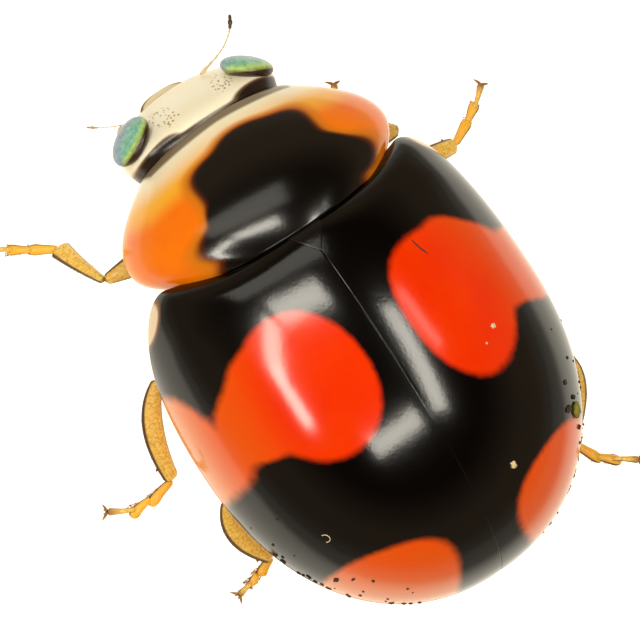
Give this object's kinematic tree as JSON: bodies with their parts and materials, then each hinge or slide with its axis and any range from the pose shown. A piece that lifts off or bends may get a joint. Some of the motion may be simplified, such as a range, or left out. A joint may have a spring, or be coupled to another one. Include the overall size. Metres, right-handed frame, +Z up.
{
  "type": "ladybird",
  "caption": "Life-size model of a ladybird at rest: domed black wing cases with orange-red blotches, orange and black pronotum, cream head, teal eyes, amber legs.",
  "frame": {"origin": "on the floor plane under the middle of the whole animal's bounding box, feet and feelers included", "axes": "+Z up; the head faces -Y; +X is the animal's left side"},
  "size_m": [0.0066, 0.0072, 0.0027],
  "materials": {
    "wing_case_cuticle": "glossy lacquer-like cuticle, black with orange-red blotches",
    "pronotum_cuticle": "glossy cuticle, orange with a black middle and a cream front band",
    "scutellum_cuticle": "glossy black cuticle",
    "head_cuticle": "satin cream cuticle with fine dark pits",
    "eye_cornea": "glossy faceted cornea, teal green with a violet sheen",
    "mouth_cuticle": "satin amber-brown cuticle",
    "feeler_cuticle": "satin straw-coloured cuticle with a dark club",
    "leg_cuticle": "satin translucent amber cuticle with dark edges",
    "belly_cuticle": "satin dark brown cuticle"
  },
  "bodies": {
    "root": {"abdomen": "belly_cuticle", "front_left_femur": "leg_cuticle", "front_left_tarsus": "leg_cuticle", "front_left_tibia": "leg_cuticle", "front_right_femur": "leg_cuticle", "front_right_tarsus": "leg_cuticle", "front_right_tibia": "leg_cuticle", "head": "head_cuticle", "hind_left_femur": "leg_cuticle", "hind_left_tarsus": "leg_cuticle", "hind_left_tibia": "leg_cuticle", "hind_right_femur": "leg_cuticle", "hind_right_tarsus": "leg_cuticle", "hind_right_tibia": "leg_cuticle", "left_antenna": "feeler_cuticle", "left_eye": "eye_cornea", "left_palp": "mouth_cuticle", "left_wing_case": "wing_case_cuticle", "middle_left_femur": "leg_cuticle", "middle_left_tarsus": "leg_cuticle", "middle_left_tibia": "leg_cuticle", "middle_right_femur": "leg_cuticle", "middle_right_tarsus": "leg_cuticle", "middle_right_tibia": "leg_cuticle", "mouthparts": "mouth_cuticle", "pronotum": "pronotum_cuticle", "prothorax": "belly_cuticle", "right_antenna": "feeler_cuticle", "right_eye": "eye_cornea", "right_palp": "mouth_cuticle", "right_wing_case": "wing_case_cuticle", "scutellum": "scutellum_cuticle", "thorax": "belly_cuticle"}
  },
  "joints": []
}
